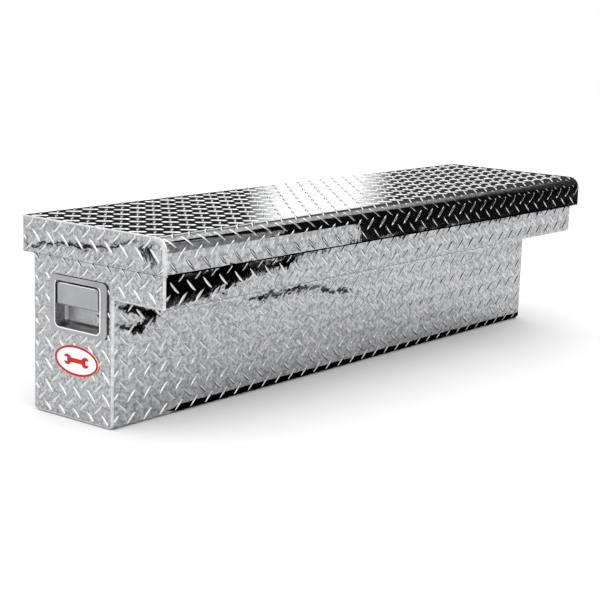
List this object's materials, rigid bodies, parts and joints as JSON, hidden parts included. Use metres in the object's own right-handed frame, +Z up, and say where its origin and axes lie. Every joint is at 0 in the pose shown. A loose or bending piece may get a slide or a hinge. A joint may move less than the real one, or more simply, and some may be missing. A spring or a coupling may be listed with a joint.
{
  "type": "truck tool box",
  "caption": "Side-mount truck tool box in aluminium tread plate, with a bed-rail wing, a hinged pan lid on gas struts and a recessed paddle latch with key lock.",
  "frame": {"origin": "on the ground, under the middle of the closed lid", "axes": "+X along the box towards the end without a latch, +Y towards the hinge, +Z up"},
  "size_m": [1.2192, 0.3134, 0.3134],
  "materials": {
    "tread_plate": "bright rolled aluminium with raised diamond lugs",
    "plain_aluminium": "mill finish",
    "stainless": "brushed stainless steel",
    "zinc_steel": "zinc plated",
    "chrome_rod": "hard chrome, polished",
    "black_enamel": "semi-gloss black enamel",
    "lock_metal": "nickel plated",
    "seal_rubber": "matt black",
    "badge_white": "glossy",
    "badge_red": "glossy"
  },
  "bodies": {
    "box": {"body_wrap": "tread_plate", "end_panel_left": "tread_plate", "end_panel_right": "tread_plate", "weatherstrip": "seal_rubber", "hinge_body_leaf": "stainless", "hinge_pin": "stainless", "latch_gasket": "seal_rubber", "latch_dish": "stainless", "latch_case": "zinc_steel", "paddle_pin": "stainless", "paddle_spring": "zinc_steel", "lock_cylinder": "lock_metal", "strut_body_bracket_left": "zinc_steel", "strut_body_bracket_right": "zinc_steel", "badge_plate": "badge_white", "badge_rim": "badge_red", "badge_emblem": "badge_red"},
    "lid": {"lid_skin": "tread_plate", "lid_end_left": "tread_plate", "lid_end_right": "tread_plate", "lid_channel": "plain_aluminium", "hinge_lid_leaf": "stainless", "latch_striker": "zinc_steel", "strut_lid_bracket_left": "zinc_steel", "strut_lid_bracket_right": "zinc_steel"},
    "paddle": {"latch_paddle": "stainless", "paddle_hook": "zinc_steel"},
    "bolt": {"latch_bolt": "zinc_steel"},
    "lock": {"lock_plug": "lock_metal", "lock_cam": "zinc_steel"},
    "strut_tube_left": {"strut_cylinder_left": "black_enamel"},
    "strut_tube_right": {"strut_cylinder_right": "black_enamel"},
    "strut_shaft_left": {"strut_rod_left": "chrome_rod"},
    "strut_shaft_right": {"strut_rod_right": "chrome_rod"}
  },
  "joints": [
    {"name": "lid_hinge", "type": "hinge", "parent": "box", "child": "lid", "pos_m": [0, 0.1451, 0.252], "axis": [-1, 0, 0], "range_deg": [0, 75]},
    {"name": "strut_tube_left_pivot", "type": "hinge", "parent": "box", "child": "strut_tube_left", "pos_m": [-0.52, 0.0901, 0.062], "axis": [-1, 0, 0], "range_deg": [0, 37.5]},
    {"name": "strut_tube_right_pivot", "type": "hinge", "parent": "box", "child": "strut_tube_right", "pos_m": [0.52, 0.0901, 0.062], "axis": [-1, 0, 0], "range_deg": [0, 37.5]},
    {"name": "strut_shaft_left_pivot", "type": "hinge", "parent": "lid", "child": "strut_shaft_left", "pos_m": [-0.52, -0.0505, 0.2814], "axis": [-1, 0, 0], "range_deg": [-37.5, 0]},
    {"name": "strut_shaft_right_pivot", "type": "hinge", "parent": "lid", "child": "strut_shaft_right", "pos_m": [0.52, -0.0505, 0.2814], "axis": [-1, 0, 0], "range_deg": [-37.5, 0]},
    {"name": "paddle_pull", "type": "hinge", "parent": "box", "child": "paddle", "pos_m": [-0.5981, 0.036, 0.21], "axis": [0, 1, 0], "range_deg": [0, 35], "stiffness_Nm_per_rad": 0.6, "springref_deg": -20.05},
    {"name": "bolt_draw", "type": "slide", "parent": "box", "child": "bolt", "axis": [-1, 0, 0], "range_m": [0, 0.0118]},
    {"name": "lock_turn", "type": "hinge", "parent": "box", "child": "lock", "pos_m": [-0.5826, 0.012, 0.1634], "axis": [1, 0, 0], "range_deg": [0, 90]}
  ],
  "couplings": [
    {"joint": "strut_tube_left_pivot", "follows": "lid_hinge", "ratio": 0.5},
    {"joint": "strut_tube_right_pivot", "follows": "lid_hinge", "ratio": 0.5},
    {"joint": "strut_shaft_left_pivot", "follows": "lid_hinge", "ratio": -0.5},
    {"joint": "strut_shaft_right_pivot", "follows": "lid_hinge", "ratio": -0.5},
    {"joint": "bolt_draw", "follows": "paddle_pull", "m_per_rad": 0.0187}
  ]
}
